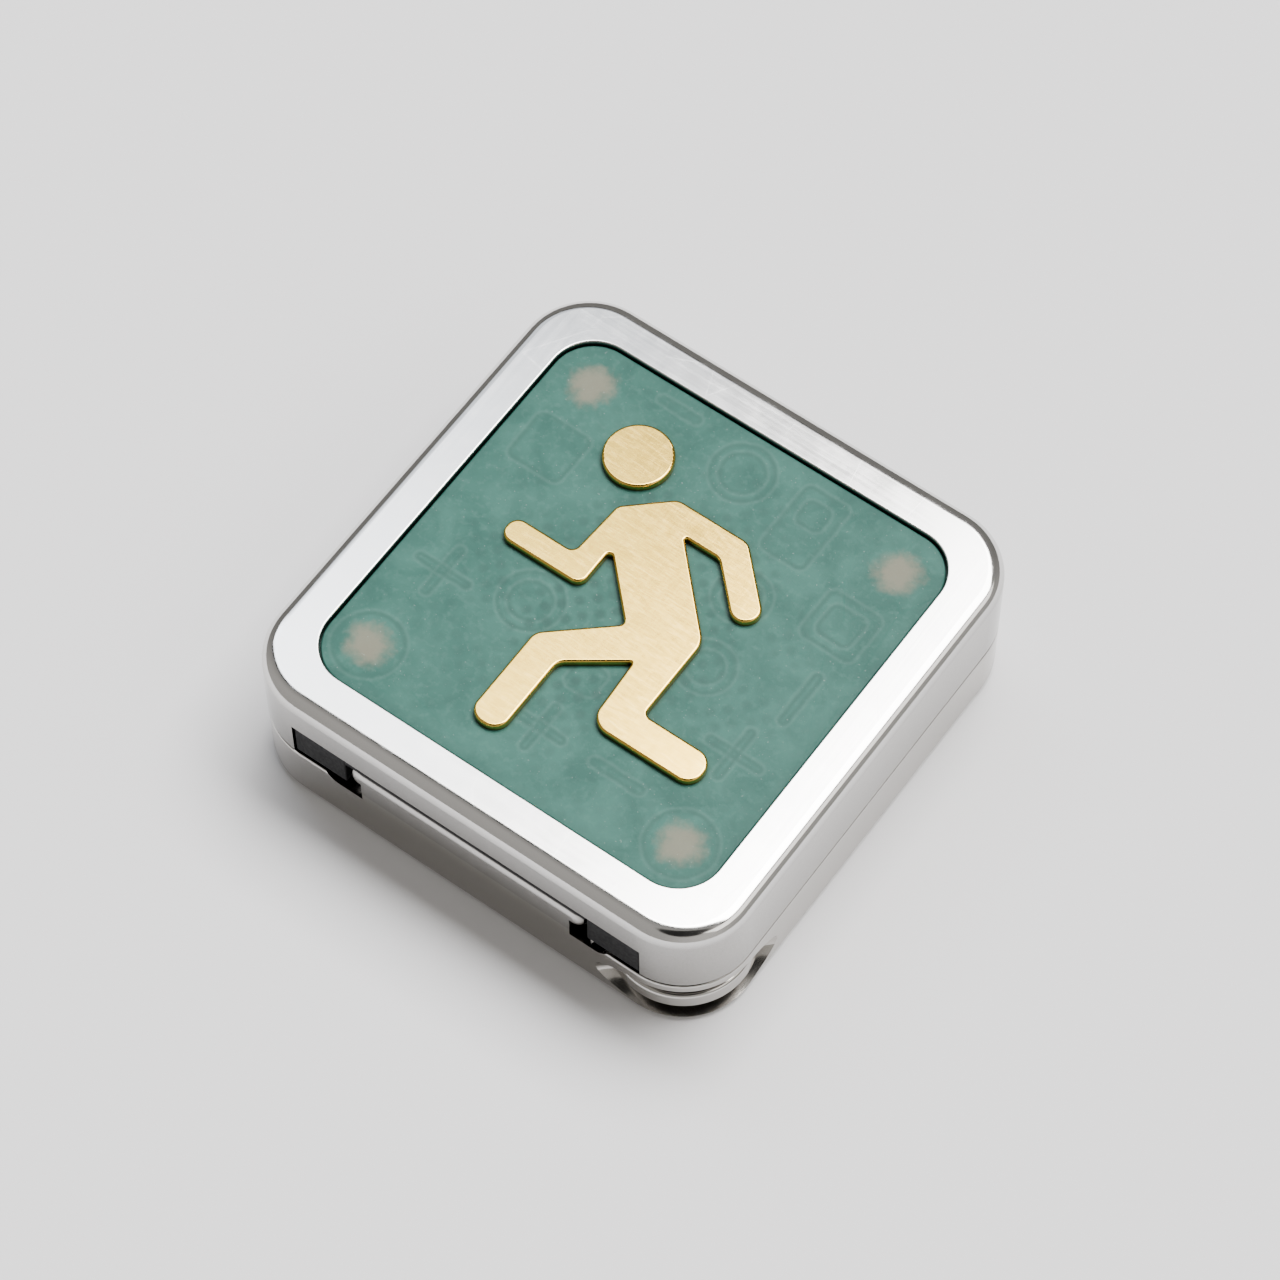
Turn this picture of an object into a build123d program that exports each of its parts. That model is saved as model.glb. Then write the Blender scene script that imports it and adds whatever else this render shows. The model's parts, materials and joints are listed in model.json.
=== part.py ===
from build123d import *
from math import cos, radians, sin, sqrt
import os

# Square pocket case with a hinged lid. Millimetres.
# Origin: centre of the flat bottom. +Z is up, the hinge side faces -Y,
# and the lanyard bar crosses the corner at +X, -Y.

# ---- case ----
SIDE = 40.0
CORNER_R = 5.5
BASE_H = 5.5
LID_H = 7.0
SEAM_GAP = 0.2
TOP_ROUND_R = 1.2
BOTTOM_ROUND_R = 0.8
BASE_RIM_ROUND_R = 0.2
LID_RIM_ROUND_R = 0.12

# ---- walls ----
SIDE_WALL = 3.0
HINGE_WALL = 3.4
BASE_FLOOR = 0.9
CORNER_WEB = 4.9
CAVITY_EDGE_R = 1.0

# ---- fits ----
LOOSE_FIT = 0.1
CLOSE_FIT = 0.02
RUNNING_FIT = 0.05
SWING_GAP = 0.1

# ---- hinge ----
HINGE_INSET = 1.5
HINGE_RISE = 1.4
OPEN_ANGLE = radians(90.0)
BARREL_LENGTH = 20.2
BARREL_DEPTH = 3.0
BARREL_ROOT = 2.0
BARREL_TOP_R = 0.85
BARREL_INNER_R = 1.4
BARREL_END_R = 1.15
BARREL_NOSE_R = 1.0
BARREL_LID_GAP = 0.14
BARREL_EDGE_GAP = 0.6
NOSE_UNDERCUT = 1.2
NOSE_UNDERCUT_TOP = 0.7
NOSE_UNDERCUT_DEPTH = 0.7
RIM_DIP_NEAR = 0.85
RIM_DIP_FAR = 2.5
PIN_R = 0.5
PIN_LENGTH = 10.3
PIN_IN_WEB = 1.5
PIN_CHAMFER = 0.12
HINGE_SPRING_R = 0.34
HINGE_SPRING_WIRE_R = 0.09
HINGE_SPRING_TURNS = 10
HINGE_WEB = 1.0

# ---- knuckle blocks ----
KNUCKLE_LENGTH = 4.4
KNUCKLE_DEPTH = 3.3
KNUCKLE_RECESS = 0.12
KNUCKLE_EDGE_R = 0.12
STRIP_RECESS = 0.05
STRIP_T = 0.3

# ---- lens stack, from the top down ----
BEZEL_WIDTH = 3.475
WINDOW_R = 3.4
WINDOW_EDGE_R = 0.12
BEZEL_LIP = 0.4
LENS_STEP = 0.5
LENS_GAP = 0.1
LENS_OVERLAP = 0.85
LENS_T = 1.2
LENS_EDGE_R = 0.1
GASKET_T = 0.6
GASKET_WIDTH = 1.2
BOARD_T = 0.6

# ---- walking figure, drawn on a grid of this many units across the window ----
FIGURE_GRID = 33.0
FIGURE_T = 0.6
FIGURE_EDGE_R = 0.2
HEAD_CENTRE = (-6.85, 9.95)
HEAD_R = 2.6
FIGURE_OUTLINE = [
    # x, y, corner radius, clockwise from the leading shoulder
    (-2.45, 8.65, 1.2),
    (3.55, 8.65, 1.2),
    (7.97, 4.23, 1.1),
    (6.37, 2.63, 1.1),
    (2.6, 6.4, 1.0),
    (-0.35, 6.4, 0.12),
    (5.6, 0.3, 1.8),
    (5.6, -6.6, 0.5),
    (11.5, -6.6, 1.25),
    (11.5, -9.3, 1.25),
    (2.85, -9.3, 1.5),
    (2.55, -3.75, 0.12),
    (-1.62, -6.75, 1.0),
    (-1.62, -13.55, 1.25),
    (-4.35, -13.55, 1.25),
    (-4.35, -5.75, 1.2),
    (0.35, -1.65, 0.35),
    (-3.9, 2.65, 0.25),
    (-3.9, -1.0, 0.9),
    (-11.0, -1.0, 0.95),
    (-11.0, 1.0, 0.95),
    (-5.95, 1.0, 0.6),
    (-5.65, 5.75, 0.9),
]

# ---- circuit board parts, placed on the figure's grid ----
BOARD_SCREW_GRID = (13.2, 13.0)
BOARD_SCREW_R = 0.8
BOARD_SCREW_HEAD_R = 1.6
BOARD_SCREW_HEAD_T = 0.45
BOARD_SCREW_LENGTH = 2.6
SCREW_SLOT_WIDTH = 0.3
CHIP_GRID = (5.85, 12.2)
CHIP_SIZE = (3.5, 6.0, 0.45)
CHIP_EDGE = 0.1
LIGHT_GRID = [(-12.55, 7.1), (12.4, 7.15)]
LIGHT_SIZE = (4.2, 4.2, 0.4)
INDUCTORS = [
    # grid x, grid y, radius
    (-0.25, 13.3, 2.3),
    (-6.2, -3.7, 2.3),
    (5.5, 5.1, 2.0),
    (6.7, -0.9, 2.0),
]
INDUCTOR_T = 0.4
INDUCTOR_HOLE_R = 1.4

# ---- chassis, cell and door ----
CHASSIS_RECESS = 0.2
SNAP_LENGTH = 8.0
SNAP_HEIGHT = 0.6
SNAP_PROUD = 0.3
SNAP_RISE = 2.4
CELL_R = 10.0
CELL_T = 2.5
CONTACT_T = 0.2
CONTACT_WIDTH = 5.0
CONTACT_LENGTH = 16.0
DOOR_OVERLAP = 0.8
DOOR_WALL = 0.8
DOOR_EAR_R = 1.9
DOOR_EAR_REACH = 12.7
DOOR_SCREW_R = 0.7
DOOR_SCREW_HEAD_R = 1.3
DOOR_SCREW_HEAD_T = 0.6
DOOR_SCREW_LENGTH = 2.6
DOOR_SLOT = (8.0, 1.2, 0.4)

# ---- light button ----
BUTTON_X = 8.5
BUTTON_Y = 11.0
BUTTON_R = 2.2
BUTTON_PROUD = 0.1
BUTTON_CAP_T = 1.1
BUTTON_EDGE_R = 0.2
BUTTON_FLANGE_R = 2.7
BUTTON_FLANGE_T = 0.4
BUTTON_STEM_R = 0.8
BUTTON_TRAVEL = 0.3
SWITCH_SIDE = 3.6
SWITCH_T = 0.9
SWITCH_TIP_R = 0.7
SWITCH_TIP_T = 0.3
BUTTON_SPRING_R = 1.35
BUTTON_SPRING_WIRE_R = 0.12
BUTTON_SPRING_TURNS = 3

# ---- magnets ----
MAGNET_R = 1.5
MAGNET_T = 1.5
MAGNET_INSET = 3.5

# ---- lanyard corner ----
LANYARD_LIP = 0.65
LANYARD_RIM = 0.85
LANYARD_DEPTH = 4.06
LANYARD_BAR_H = 1.7
LANYARD_BAR_T = 1.1
LANYARD_BAR_INSET = 0.15
LANYARD_BAR_SWEEP_R = 5.2
LANYARD_BAR_HALF_ANGLE = 84.0
LANYARD_SLOT_EXTRA_ANGLE = 2.0
LANYARD_BAR_EDGE_R = 0.35

# ---- liner ----
LINER_T = 0.3
LINER_GAP = 0.2

# ---- levels and places that follow from the sizes above ----
HALF = SIDE / 2
BASE_TOP = BASE_H - SEAM_GAP / 2
LID_BOTTOM = BASE_H + SEAM_GAP / 2
CASE_TOP = BASE_H + LID_H
WINDOW = SIDE - 2 * BEZEL_WIDTH
GRID_UNIT = WINDOW / FIGURE_GRID
LENS_SIDE = WINDOW + 2 * LENS_OVERLAP
LENS_R = WINDOW_R + LENS_OVERLAP
LENS_TOP = CASE_TOP - BEZEL_LIP
LENS_FLANGE_TOP = LENS_TOP - LENS_STEP
LENS_BOTTOM = LENS_TOP - LENS_T
BOARD_TOP = LENS_BOTTOM - GASKET_T
BOARD_BOTTOM = BOARD_TOP - BOARD_T
CHASSIS_BOTTOM = BASE_H + CHASSIS_RECESS
HINGE_Y = -HALF + HINGE_INSET
HINGE_Z = BASE_H + HINGE_RISE
BARREL_TOP = HINGE_Z + HINGE_INSET
BARREL_REACH = sqrt(2) * (HINGE_INSET - BARREL_TOP_R) + BARREL_TOP_R
NOTCH_TOP = BARREL_TOP + BARREL_EDGE_GAP
KNUCKLE_START = BARREL_LENGTH / 2 + 2 * LOOSE_FIT
KNUCKLE_END = KNUCKLE_START + KNUCKLE_LENGTH
NOTCH_END = KNUCKLE_END + LOOSE_FIT
PIN_END = NOTCH_END + PIN_IN_WEB
CORNER_TIP = (HALF - CORNER_R) * sqrt(2) + CORNER_R
WEB_LINE = (CORNER_TIP - CORNER_WEB) * sqrt(2)
CELL_TOP = BOARD_BOTTOM - CONTACT_T
CELL_BOTTOM = CELL_TOP - CELL_T
DOOR_TOP = CELL_BOTTOM - CLOSE_FIT
DOOR_R = CELL_R + DOOR_OVERLAP
LID_HINGE_WALL = HINGE_INSET + BARREL_REACH + HINGE_WEB
CELL_Y = -HALF + LID_HINGE_WALL + DOOR_WALL + DOOR_R + 2 * LOOSE_FIT
ABOVE_ALL = CASE_TOP + 5.0


def place(x, y, z):
    return Pos(x, y, z)


def on_grid(x, y):
    return x * GRID_UNIT, y * GRID_UNIT


def disc(x, y, z_low, z_high, radius):
    height = z_high - z_low
    return place(x, y, z_low + height / 2) * Cylinder(radius, height)


def block(x_low, x_high, y_low, y_high, z_low, z_high):
    size = (x_high - x_low, y_high - y_low, z_high - z_low)
    centre = ((x_low + x_high) / 2, (y_low + y_high) / 2, (z_low + z_high) / 2)
    return place(*centre) * Box(*size)


def rounded_plate(side, radius, z_low, z_high):
    face = RectangleRounded(side, side, radius)
    return place(0, 0, z_low) * extrude(face, z_high - z_low)


def hinge_cylinder(x_low, x_high, radius):
    length = x_high - x_low
    return Pos((x_low + x_high) / 2, HINGE_Y, HINGE_Z) * Rot(0, 90, 0) * Cylinder(radius, length)


def mirrored(shape):
    return mirror(shape, Plane.YZ)


def edges_at_height(shape, z):
    return shape.edges().filter_by(lambda edge: abs(edge.bounding_box().min.Z - z) < 1e-4
                                   and abs(edge.bounding_box().max.Z - z) < 1e-4)


def rim_edges(shape, z):
    """Edges at one height on the outer wall of the case."""
    return edges_at_height(shape, z).filter_by(
        lambda edge: max(abs(edge.center().X), abs(edge.center().Y)) > HALF - CORNER_R / 2
    )


def cavity(hinge_wall, z_low, z_high, shrink=0.0):
    """Square hollow with its four corners cut off by the corner webs."""
    side_limit = HALF - SIDE_WALL - shrink
    hinge_limit = -HALF + hinge_wall + shrink
    web_limit = WEB_LINE - shrink * sqrt(2)
    square = block(-side_limit, side_limit, hinge_limit, side_limit, z_low, z_high)
    height = z_high - z_low
    diamond_side = web_limit * sqrt(2)
    diamond = place(0, 0, z_low + height / 2) * Rot(0, 0, 45) * Box(diamond_side, diamond_side, height)
    hollow = square & diamond
    return fillet(hollow.edges().filter_by(Axis.Z), CAVITY_EDGE_R)


def magnet_places():
    return [(side * (HALF - MAGNET_INSET), HALF - MAGNET_INSET) for side in (-1, 1)]


# ---- base ----
def swing_relief():
    """Room for the lid's lower edge as it turns: a solid of revolution about the hinge axis."""
    def reach(x):
        from_corner = max(0.0, x - (HALF - CORNER_R))
        wall_y = (HALF - CORNER_R) + sqrt(CORNER_R ** 2 - from_corner ** 2)
        outside = max(0.0, wall_y - (HALF - HINGE_INSET))
        return sqrt(outside ** 2 + (HINGE_Z - LID_BOTTOM) ** 2) + SWING_GAP

    start = BARREL_LENGTH / 2
    straight_end = HALF - CORNER_R
    level_with_axis = straight_end + sqrt(CORNER_R ** 2 - (CORNER_R - HINGE_INSET) ** 2)
    steps = 6
    arc_xs = [straight_end + (level_with_axis - straight_end) * i / steps for i in range(steps + 1)]
    curve = Spline(*[(x, reach(x)) for x in arc_xs])
    outline = Wire([
        Line((start, 0), (start, reach(start))).edge(),
        Line((start, reach(start)), curve @ 0).edge(),
        curve.edge(),
        Line(curve @ 1, (level_with_axis, 0)).edge(),
        Line((level_with_axis, 0), (start, 0)).edge(),
    ])
    turned = revolve(make_face(outline), Axis.X, 360)
    return Pos(0, HINGE_Y, HINGE_Z) * turned + opened_wall_relief()


def opened_wall_relief():
    """Room for the lid's outer wall at a right angle, where it would cut into the rim."""
    return block(BARREL_LENGTH / 2, HALF, -HALF - 1, HINGE_Y, HINGE_Z - HINGE_INSET, HINGE_Z)


def barrel():
    """Raised hinge barrel with round ends and a rounded top."""
    half = BARREL_LENGTH / 2
    low = BASE_H - BARREL_ROOT
    nose_bottom = BASE_H + NOSE_UNDERCUT_TOP
    neck = half - NOSE_UNDERCUT
    front = FilletPolyline(
        (-neck, low), (-neck, nose_bottom), (-half, nose_bottom), (-half, BARREL_TOP),
        (half, BARREL_TOP), (half, nose_bottom), (neck, nose_bottom), (neck, low),
        radius=[0, 0, BARREL_NOSE_R, BARREL_END_R, BARREL_END_R, BARREL_NOSE_R, 0, 0],
        close=True,
    )
    bar = Pos(0, -HALF, 0) * extrude(make_face(Plane.XZ * front), BARREL_DEPTH, dir=(0, 1, 0))
    outer_edges = [
        edge for edge in bar.edges()
        if abs(edge.center().Y + HALF) < 1e-4 and edge.center().Z > nose_bottom - 1e-4
    ]
    bar = fillet(outer_edges, BARREL_TOP_R)
    inner = -HALF + BARREL_DEPTH
    side = FilletPolyline(
        (-HALF, low), (-HALF, BARREL_TOP), (inner, BARREL_TOP), (inner, low),
        radius=[0, 0, BARREL_INNER_R, 0],
        close=True,
    )
    return bar & extrude(make_face(Plane.YZ * side), half, both=True)


def nose_undercuts():
    """Slot below each barrel end, with the rim rising smoothly from it."""
    half = BARREL_LENGTH / 2
    neck = half - NOSE_UNDERCUT
    low = BASE_H - NOSE_UNDERCUT_DEPTH
    high = BASE_H + NOSE_UNDERCUT_TOP
    rim_start = (half + RIM_DIP_FAR, BASE_H)
    dip_end = (half + RIM_DIP_NEAR, low)
    rise = Spline(rim_start, dip_end, tangents=[(-1, 0), (-1, 0)])
    outline = Wire([
        rise.edge(),
        Line(dip_end, (neck, low)).edge(),
        Line((neck, low), (neck, high)).edge(),
        Line((neck, high), (rim_start[0], high)).edge(),
        Line((rim_start[0], high), rim_start).edge(),
    ])
    slot = Pos(0, -HALF - 1, 0) * extrude(make_face(Plane.XZ * outline), BARREL_DEPTH + 1, dir=(0, 1, 0))
    return slot + mirrored(slot)


def lanyard_level():
    return (LANYARD_LIP + BASE_H - LANYARD_RIM) / 2


def lanyard_pocket():
    """Eye-shaped pocket: an elliptic bore across the corner."""
    half_height = (BASE_H - LANYARD_RIM - LANYARD_LIP) / 2
    length = 4 * LANYARD_DEPTH
    bore = extrude(Plane.YZ * Ellipse(LANYARD_DEPTH, half_height), length / 2, both=True)
    at_tip = CORNER_TIP / sqrt(2)
    return Pos(at_tip, -at_tip, lanyard_level()) * Rot(0, 0, 45) * bore


def lanyard_bar(grow=0.0):
    """Curved strap across the pocket, its ends running into the walls."""
    outer_r = LANYARD_BAR_SWEEP_R + grow
    inner_r = LANYARD_BAR_SWEEP_R - LANYARD_BAR_T - grow
    height = LANYARD_BAR_H + 2 * grow
    half_angle = LANYARD_BAR_HALF_ANGLE + (LANYARD_SLOT_EXTRA_ANGLE if grow else 0.0)
    section = Pos((outer_r + inner_r) / 2, 0) * RectangleRounded(
        outer_r - inner_r, height, LANYARD_BAR_EDGE_R)
    turned = revolve(Plane.XZ * section, Axis.Z, 2 * half_angle)
    centre = (CORNER_TIP - LANYARD_BAR_INSET - LANYARD_BAR_SWEEP_R) / sqrt(2)
    return Pos(centre, -centre, lanyard_level()) * Rot(0, 0, -45 - half_angle) * turned


def base_shell():
    shell = rounded_plate(SIDE, CORNER_R, 0, BASE_TOP)
    shell = fillet(edges_at_height(shell, 0), BOTTOM_ROUND_R)
    shell = fillet(rim_edges(shell, BASE_TOP), BASE_RIM_ROUND_R)
    reliefs = swing_relief()
    shell = shell - reliefs - mirrored(reliefs)
    shell -= nose_undercuts()
    shell += barrel()
    shell -= cavity(HINGE_WALL, BASE_FLOOR, ABOVE_ALL)
    shell -= hinge_cylinder(-HALF / 2 - 1, HALF / 2 + 1, PIN_R + RUNNING_FIT) & block(
        -HALF, HALF, -HALF, HALF, 0, ABOVE_ALL)
    shell -= lanyard_pocket()
    shell -= lanyard_bar(CLOSE_FIT)
    for x, y in magnet_places():
        shell -= disc(x, y, BASE_TOP - MAGNET_T, BASE_TOP + 1, MAGNET_R + CLOSE_FIT)
    return shell


def base_magnets():
    return Compound([disc(x, y, BASE_TOP - MAGNET_T, BASE_TOP, MAGNET_R) for x, y in magnet_places()])


def base_liner():
    return cavity(HINGE_WALL, BASE_FLOOR, BASE_FLOOR + LINER_T, LINER_GAP)


def coil(mean_r, wire_r, length, turns):
    path = Helix(length / turns, length, mean_r)
    section = Plane(path @ 0, z_dir=path % 0) * Circle(wire_r)
    return sweep(section, path, is_frenet=True)


def hinge_spring():
    reach = PIN_END - PIN_LENGTH - HINGE_SPRING_WIRE_R - CLOSE_FIT
    spring = coil(HINGE_SPRING_R, HINGE_SPRING_WIRE_R, 2 * reach, HINGE_SPRING_TURNS)
    return Pos(-reach, HINGE_Y, HINGE_Z) * Rot(0, 90, 0) * spring


# ---- lid ----
def hinge_notch():
    """Room in the lid for the barrel and the knuckle blocks."""
    half = BARREL_LENGTH / 2 + LOOSE_FIT
    room = block(-NOTCH_END, NOTCH_END, -HALF - 1, HINGE_Y, 0, NOTCH_TOP)
    room += hinge_cylinder(-half, half, BARREL_REACH + BARREL_LID_GAP)
    room += block(-half, half, -HALF - 1, HINGE_Y + BARREL_REACH, 0, HINGE_Z)
    knuckle_room = block(half, NOTCH_END, -HALF - 1, knuckle_inner_y() + LOOSE_FIT, 0, NOTCH_TOP)
    return room + knuckle_room + mirrored(knuckle_room)


def knuckle_inner_y():
    return -HALF + KNUCKLE_RECESS + KNUCKLE_DEPTH


def knuckle():
    body = block(KNUCKLE_START, KNUCKLE_END, -HALF + KNUCKLE_RECESS, knuckle_inner_y(),
                 LID_BOTTOM + LOOSE_FIT, NOTCH_TOP - LOOSE_FIT)
    body = fillet(body.edges().filter_by(Axis.X) + body.edges().filter_by(Axis.Z), KNUCKLE_EDGE_R)
    return body - hinge_cylinder(0, HALF, PIN_R + CLOSE_FIT)


def hinge_strip():
    """Thin strip under the lid's edge that closes the gap over the barrel.

    Its lower edge is as low as lets it pass outside the base wall when the lid is fully open.
    """
    inner = -HALF + STRIP_RECESS + STRIP_T
    rise = (HINGE_INSET + RUNNING_FIT - (HINGE_Y - inner) * cos(OPEN_ANGLE)) / sin(OPEN_ANGLE)
    half = KNUCKLE_START - LOOSE_FIT
    return block(-half, half, -HALF + STRIP_RECESS, inner, HINGE_Z + rise, NOTCH_TOP)


def hinge_pin():
    pin = hinge_cylinder(PIN_END - PIN_LENGTH, PIN_END, PIN_R)
    return chamfer(pin.edges().filter_by(GeomType.CIRCLE), PIN_CHAMFER)


def lower_hollow(z_low, z_high, shrink=0.0):
    return cavity(LID_HINGE_WALL, z_low, z_high, shrink)


def snap_ribs(grow=0.0):
    """Ribs on three sides of the chassis, and with grow the grooves that take them."""
    half_length = SNAP_LENGTH / 2 + grow
    low = CHASSIS_BOTTOM + SNAP_RISE - grow
    high = low + SNAP_HEIGHT + 2 * grow
    wall = HALF - SIDE_WALL
    ribs = block(wall - 1, wall - LOOSE_FIT + SNAP_PROUD + grow, -half_length, half_length, low, high)
    ribs += mirrored(ribs)
    ribs += block(-half_length, half_length, wall - 1, wall - LOOSE_FIT + SNAP_PROUD + grow, low, high)
    return ribs


def lid_shell():
    shell = rounded_plate(SIDE, CORNER_R, LID_BOTTOM, CASE_TOP)
    shell = fillet(edges_at_height(shell, CASE_TOP), TOP_ROUND_R)
    shell = fillet(rim_edges(shell, LID_BOTTOM), LID_RIM_ROUND_R)
    shell -= rounded_plate(WINDOW, WINDOW_R, BOARD_BOTTOM, ABOVE_ALL)
    window_edges = edges_at_height(shell, CASE_TOP).filter_by(
        lambda edge: max(abs(edge.center().X), abs(edge.center().Y)) < WINDOW / 2 + LENS_GAP)
    shell = fillet(window_edges, WINDOW_EDGE_R)
    shell -= rounded_plate(LENS_SIDE + 2 * CLOSE_FIT, LENS_R, BOARD_BOTTOM, LENS_FLANGE_TOP)
    shell -= lower_hollow(0, BOARD_BOTTOM + LOOSE_FIT / 2)
    shell -= hinge_notch()
    pin_hole = hinge_cylinder(0, PIN_END + LOOSE_FIT, PIN_R + CLOSE_FIT)
    shell = shell - pin_hole - mirrored(pin_hole)
    shell -= snap_ribs(LOOSE_FIT / 2)
    for x, y in magnet_places():
        shell -= disc(x, y, 0, LID_BOTTOM + MAGNET_T, MAGNET_R + CLOSE_FIT)
    return shell


def lid_magnets():
    return Compound([disc(x, y, LID_BOTTOM, LID_BOTTOM + MAGNET_T, MAGNET_R) for x, y in magnet_places()])


def lens():
    """Stepped plate: the flange lies under the bezel and the middle stands up in the window."""
    flange = rounded_plate(LENS_SIDE, LENS_R, LENS_BOTTOM, LENS_FLANGE_TOP)
    flange = chamfer(edges_at_height(flange, LENS_BOTTOM), LENS_EDGE_R)
    middle = rounded_plate(WINDOW - 2 * LENS_GAP, WINDOW_R - LENS_GAP, LENS_BOTTOM, LENS_TOP)
    middle = fillet(edges_at_height(middle, LENS_TOP), LENS_EDGE_R)
    return flange + middle


def lens_gasket():
    outer = rounded_plate(LENS_SIDE, LENS_R, BOARD_TOP, LENS_BOTTOM)
    inner_side = LENS_SIDE - 2 * GASKET_WIDTH
    return outer - rounded_plate(inner_side, LENS_R - GASKET_WIDTH, BOARD_TOP, LENS_BOTTOM)


def figure_body():
    points = [on_grid(x, y) for x, y, _ in FIGURE_OUTLINE]
    radii = [radius * GRID_UNIT for _, _, radius in FIGURE_OUTLINE]
    outline = FilletPolyline(*points, radius=radii, close=True)
    solid = place(0, 0, LENS_TOP) * extrude(make_face(outline), FIGURE_T)
    return fillet(edges_at_height(solid, LENS_TOP + FIGURE_T), FIGURE_EDGE_R)


def figure_head():
    x, y = on_grid(*HEAD_CENTRE)
    solid = disc(x, y, LENS_TOP, LENS_TOP + FIGURE_T, HEAD_R * GRID_UNIT)
    return fillet(edges_at_height(solid, LENS_TOP + FIGURE_T), FIGURE_EDGE_R)


# ---- circuit board ----
def screw_slot(x, y, head_r, z_low, z_high):
    return block(x - head_r, x + head_r, y - SCREW_SLOT_WIDTH / 2, y + SCREW_SLOT_WIDTH / 2, z_low, z_high)


def board_screw_places():
    across, along = on_grid(*BOARD_SCREW_GRID)
    return [(side * across, end * along) for side in (-1, 1) for end in (-1, 1)]


def circuit_board():
    board = rounded_plate(LENS_SIDE, LENS_R, BOARD_BOTTOM + CLOSE_FIT, BOARD_TOP)
    for x, y in board_screw_places():
        board -= disc(x, y, 0, ABOVE_ALL, BOARD_SCREW_R + LOOSE_FIT)
    return board


def board_screws():
    screws = []
    for x, y in board_screw_places():
        head = disc(x, y, BOARD_TOP, BOARD_TOP + BOARD_SCREW_HEAD_T, BOARD_SCREW_HEAD_R)
        shank = disc(x, y, BOARD_TOP - BOARD_SCREW_LENGTH, BOARD_TOP, BOARD_SCREW_R)
        slot = screw_slot(x, y, BOARD_SCREW_HEAD_R, BOARD_TOP + BOARD_SCREW_HEAD_T / 2, ABOVE_ALL)
        screws.append((head + shank - slot).solid())
    return Compound(screws)


def control_chip():
    x, y = on_grid(*CHIP_GRID)
    width, length, height = CHIP_SIZE
    body = place(x, y, BOARD_TOP + height / 2) * Box(width, length, height)
    return chamfer(edges_at_height(body, BOARD_TOP + height), CHIP_EDGE)


def light_chips():
    width, length, height = LIGHT_SIZE
    chips = []
    for grid_place in LIGHT_GRID:
        x, y = on_grid(*grid_place)
        body = place(x, y, BOARD_TOP + height / 2) * Box(width, length, height)
        chips.append((body - disc(x, y, BOARD_TOP + height / 2, ABOVE_ALL, width / 3)).solid())
    return Compound(chips)


def inductors():
    rings = []
    for grid_x, grid_y, radius in INDUCTORS:
        x, y = on_grid(grid_x, grid_y)
        ring = disc(x, y, BOARD_TOP, BOARD_TOP + INDUCTOR_T, radius)
        rings.append((ring - disc(x, y, 0, ABOVE_ALL, INDUCTOR_HOLE_R)).solid())
    return Compound(rings)


# ---- chassis, cell and door ----
def door_outline(grow=0.0):
    ear_y = CELL_Y + DOOR_EAR_REACH
    face = Pos(0, CELL_Y) * Circle(DOOR_R + grow)
    face += Pos(0, ear_y) * Circle(DOOR_EAR_R + grow)
    width = 2 * (DOOR_EAR_R + grow)
    face += Pos(0, (CELL_Y + ear_y) / 2) * Rectangle(width, ear_y - CELL_Y)
    return face


def door_screw_place():
    return 0, CELL_Y + DOOR_EAR_REACH


def chassis():
    body = lower_hollow(CHASSIS_BOTTOM, BOARD_BOTTOM, LOOSE_FIT)
    body += snap_ribs()
    body -= place(0, 0, CHASSIS_BOTTOM - 1) * extrude(door_outline(LOOSE_FIT), DOOR_TOP - CHASSIS_BOTTOM + 1)
    body -= disc(0, CELL_Y, 0, ABOVE_ALL, CELL_R + LOOSE_FIT)
    body -= disc(*door_screw_place(), 0, ABOVE_ALL, DOOR_SCREW_R)
    for x, y in board_screw_places():
        body -= disc(x, y, BOARD_TOP - BOARD_SCREW_LENGTH - LOOSE_FIT, ABOVE_ALL, BOARD_SCREW_R)
    body -= disc(BUTTON_X, BUTTON_Y, 0, ABOVE_ALL, BUTTON_R + RUNNING_FIT)
    body -= disc(BUTTON_X, BUTTON_Y, button_shoulder(), ABOVE_ALL, BUTTON_FLANGE_R + LOOSE_FIT)
    return body


def coin_cell():
    can = disc(0, CELL_Y, CELL_BOTTOM + CELL_T / 4, CELL_TOP, CELL_R)
    cap = disc(0, CELL_Y, CELL_BOTTOM, CELL_BOTTOM + CELL_T / 4, CELL_R - CELL_T / 2)
    return can + cap


def cell_contact():
    return place(0, CELL_Y, CELL_TOP + CONTACT_T / 2) * Box(CONTACT_LENGTH, CONTACT_WIDTH, CONTACT_T)


def battery_door():
    door = place(0, 0, CHASSIS_BOTTOM) * extrude(door_outline(), DOOR_TOP - CHASSIS_BOTTOM)
    slot_length, slot_width, slot_depth = DOOR_SLOT
    door -= place(0, CELL_Y, CHASSIS_BOTTOM + slot_depth / 2) * Box(slot_length, slot_width, slot_depth)
    x, y = door_screw_place()
    door -= disc(x, y, 0, ABOVE_ALL, DOOR_SCREW_R + LOOSE_FIT)
    door -= disc(x, y, 0, CHASSIS_BOTTOM + DOOR_SCREW_HEAD_T, DOOR_SCREW_HEAD_R + LOOSE_FIT)
    return door


def door_screw():
    x, y = door_screw_place()
    head = disc(x, y, CHASSIS_BOTTOM, CHASSIS_BOTTOM + DOOR_SCREW_HEAD_T, DOOR_SCREW_HEAD_R)
    shank = disc(x, y, CHASSIS_BOTTOM, CHASSIS_BOTTOM + DOOR_SCREW_LENGTH, DOOR_SCREW_R)
    slot = screw_slot(x, y, DOOR_SCREW_HEAD_R, 0, CHASSIS_BOTTOM + DOOR_SCREW_HEAD_T / 2)
    return head + shank - slot


# ---- light button ----
def button_face():
    return CHASSIS_BOTTOM - BUTTON_PROUD


def button_shoulder():
    return button_face() + BUTTON_CAP_T


def flange_top():
    return button_shoulder() + BUTTON_FLANGE_T


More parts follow.
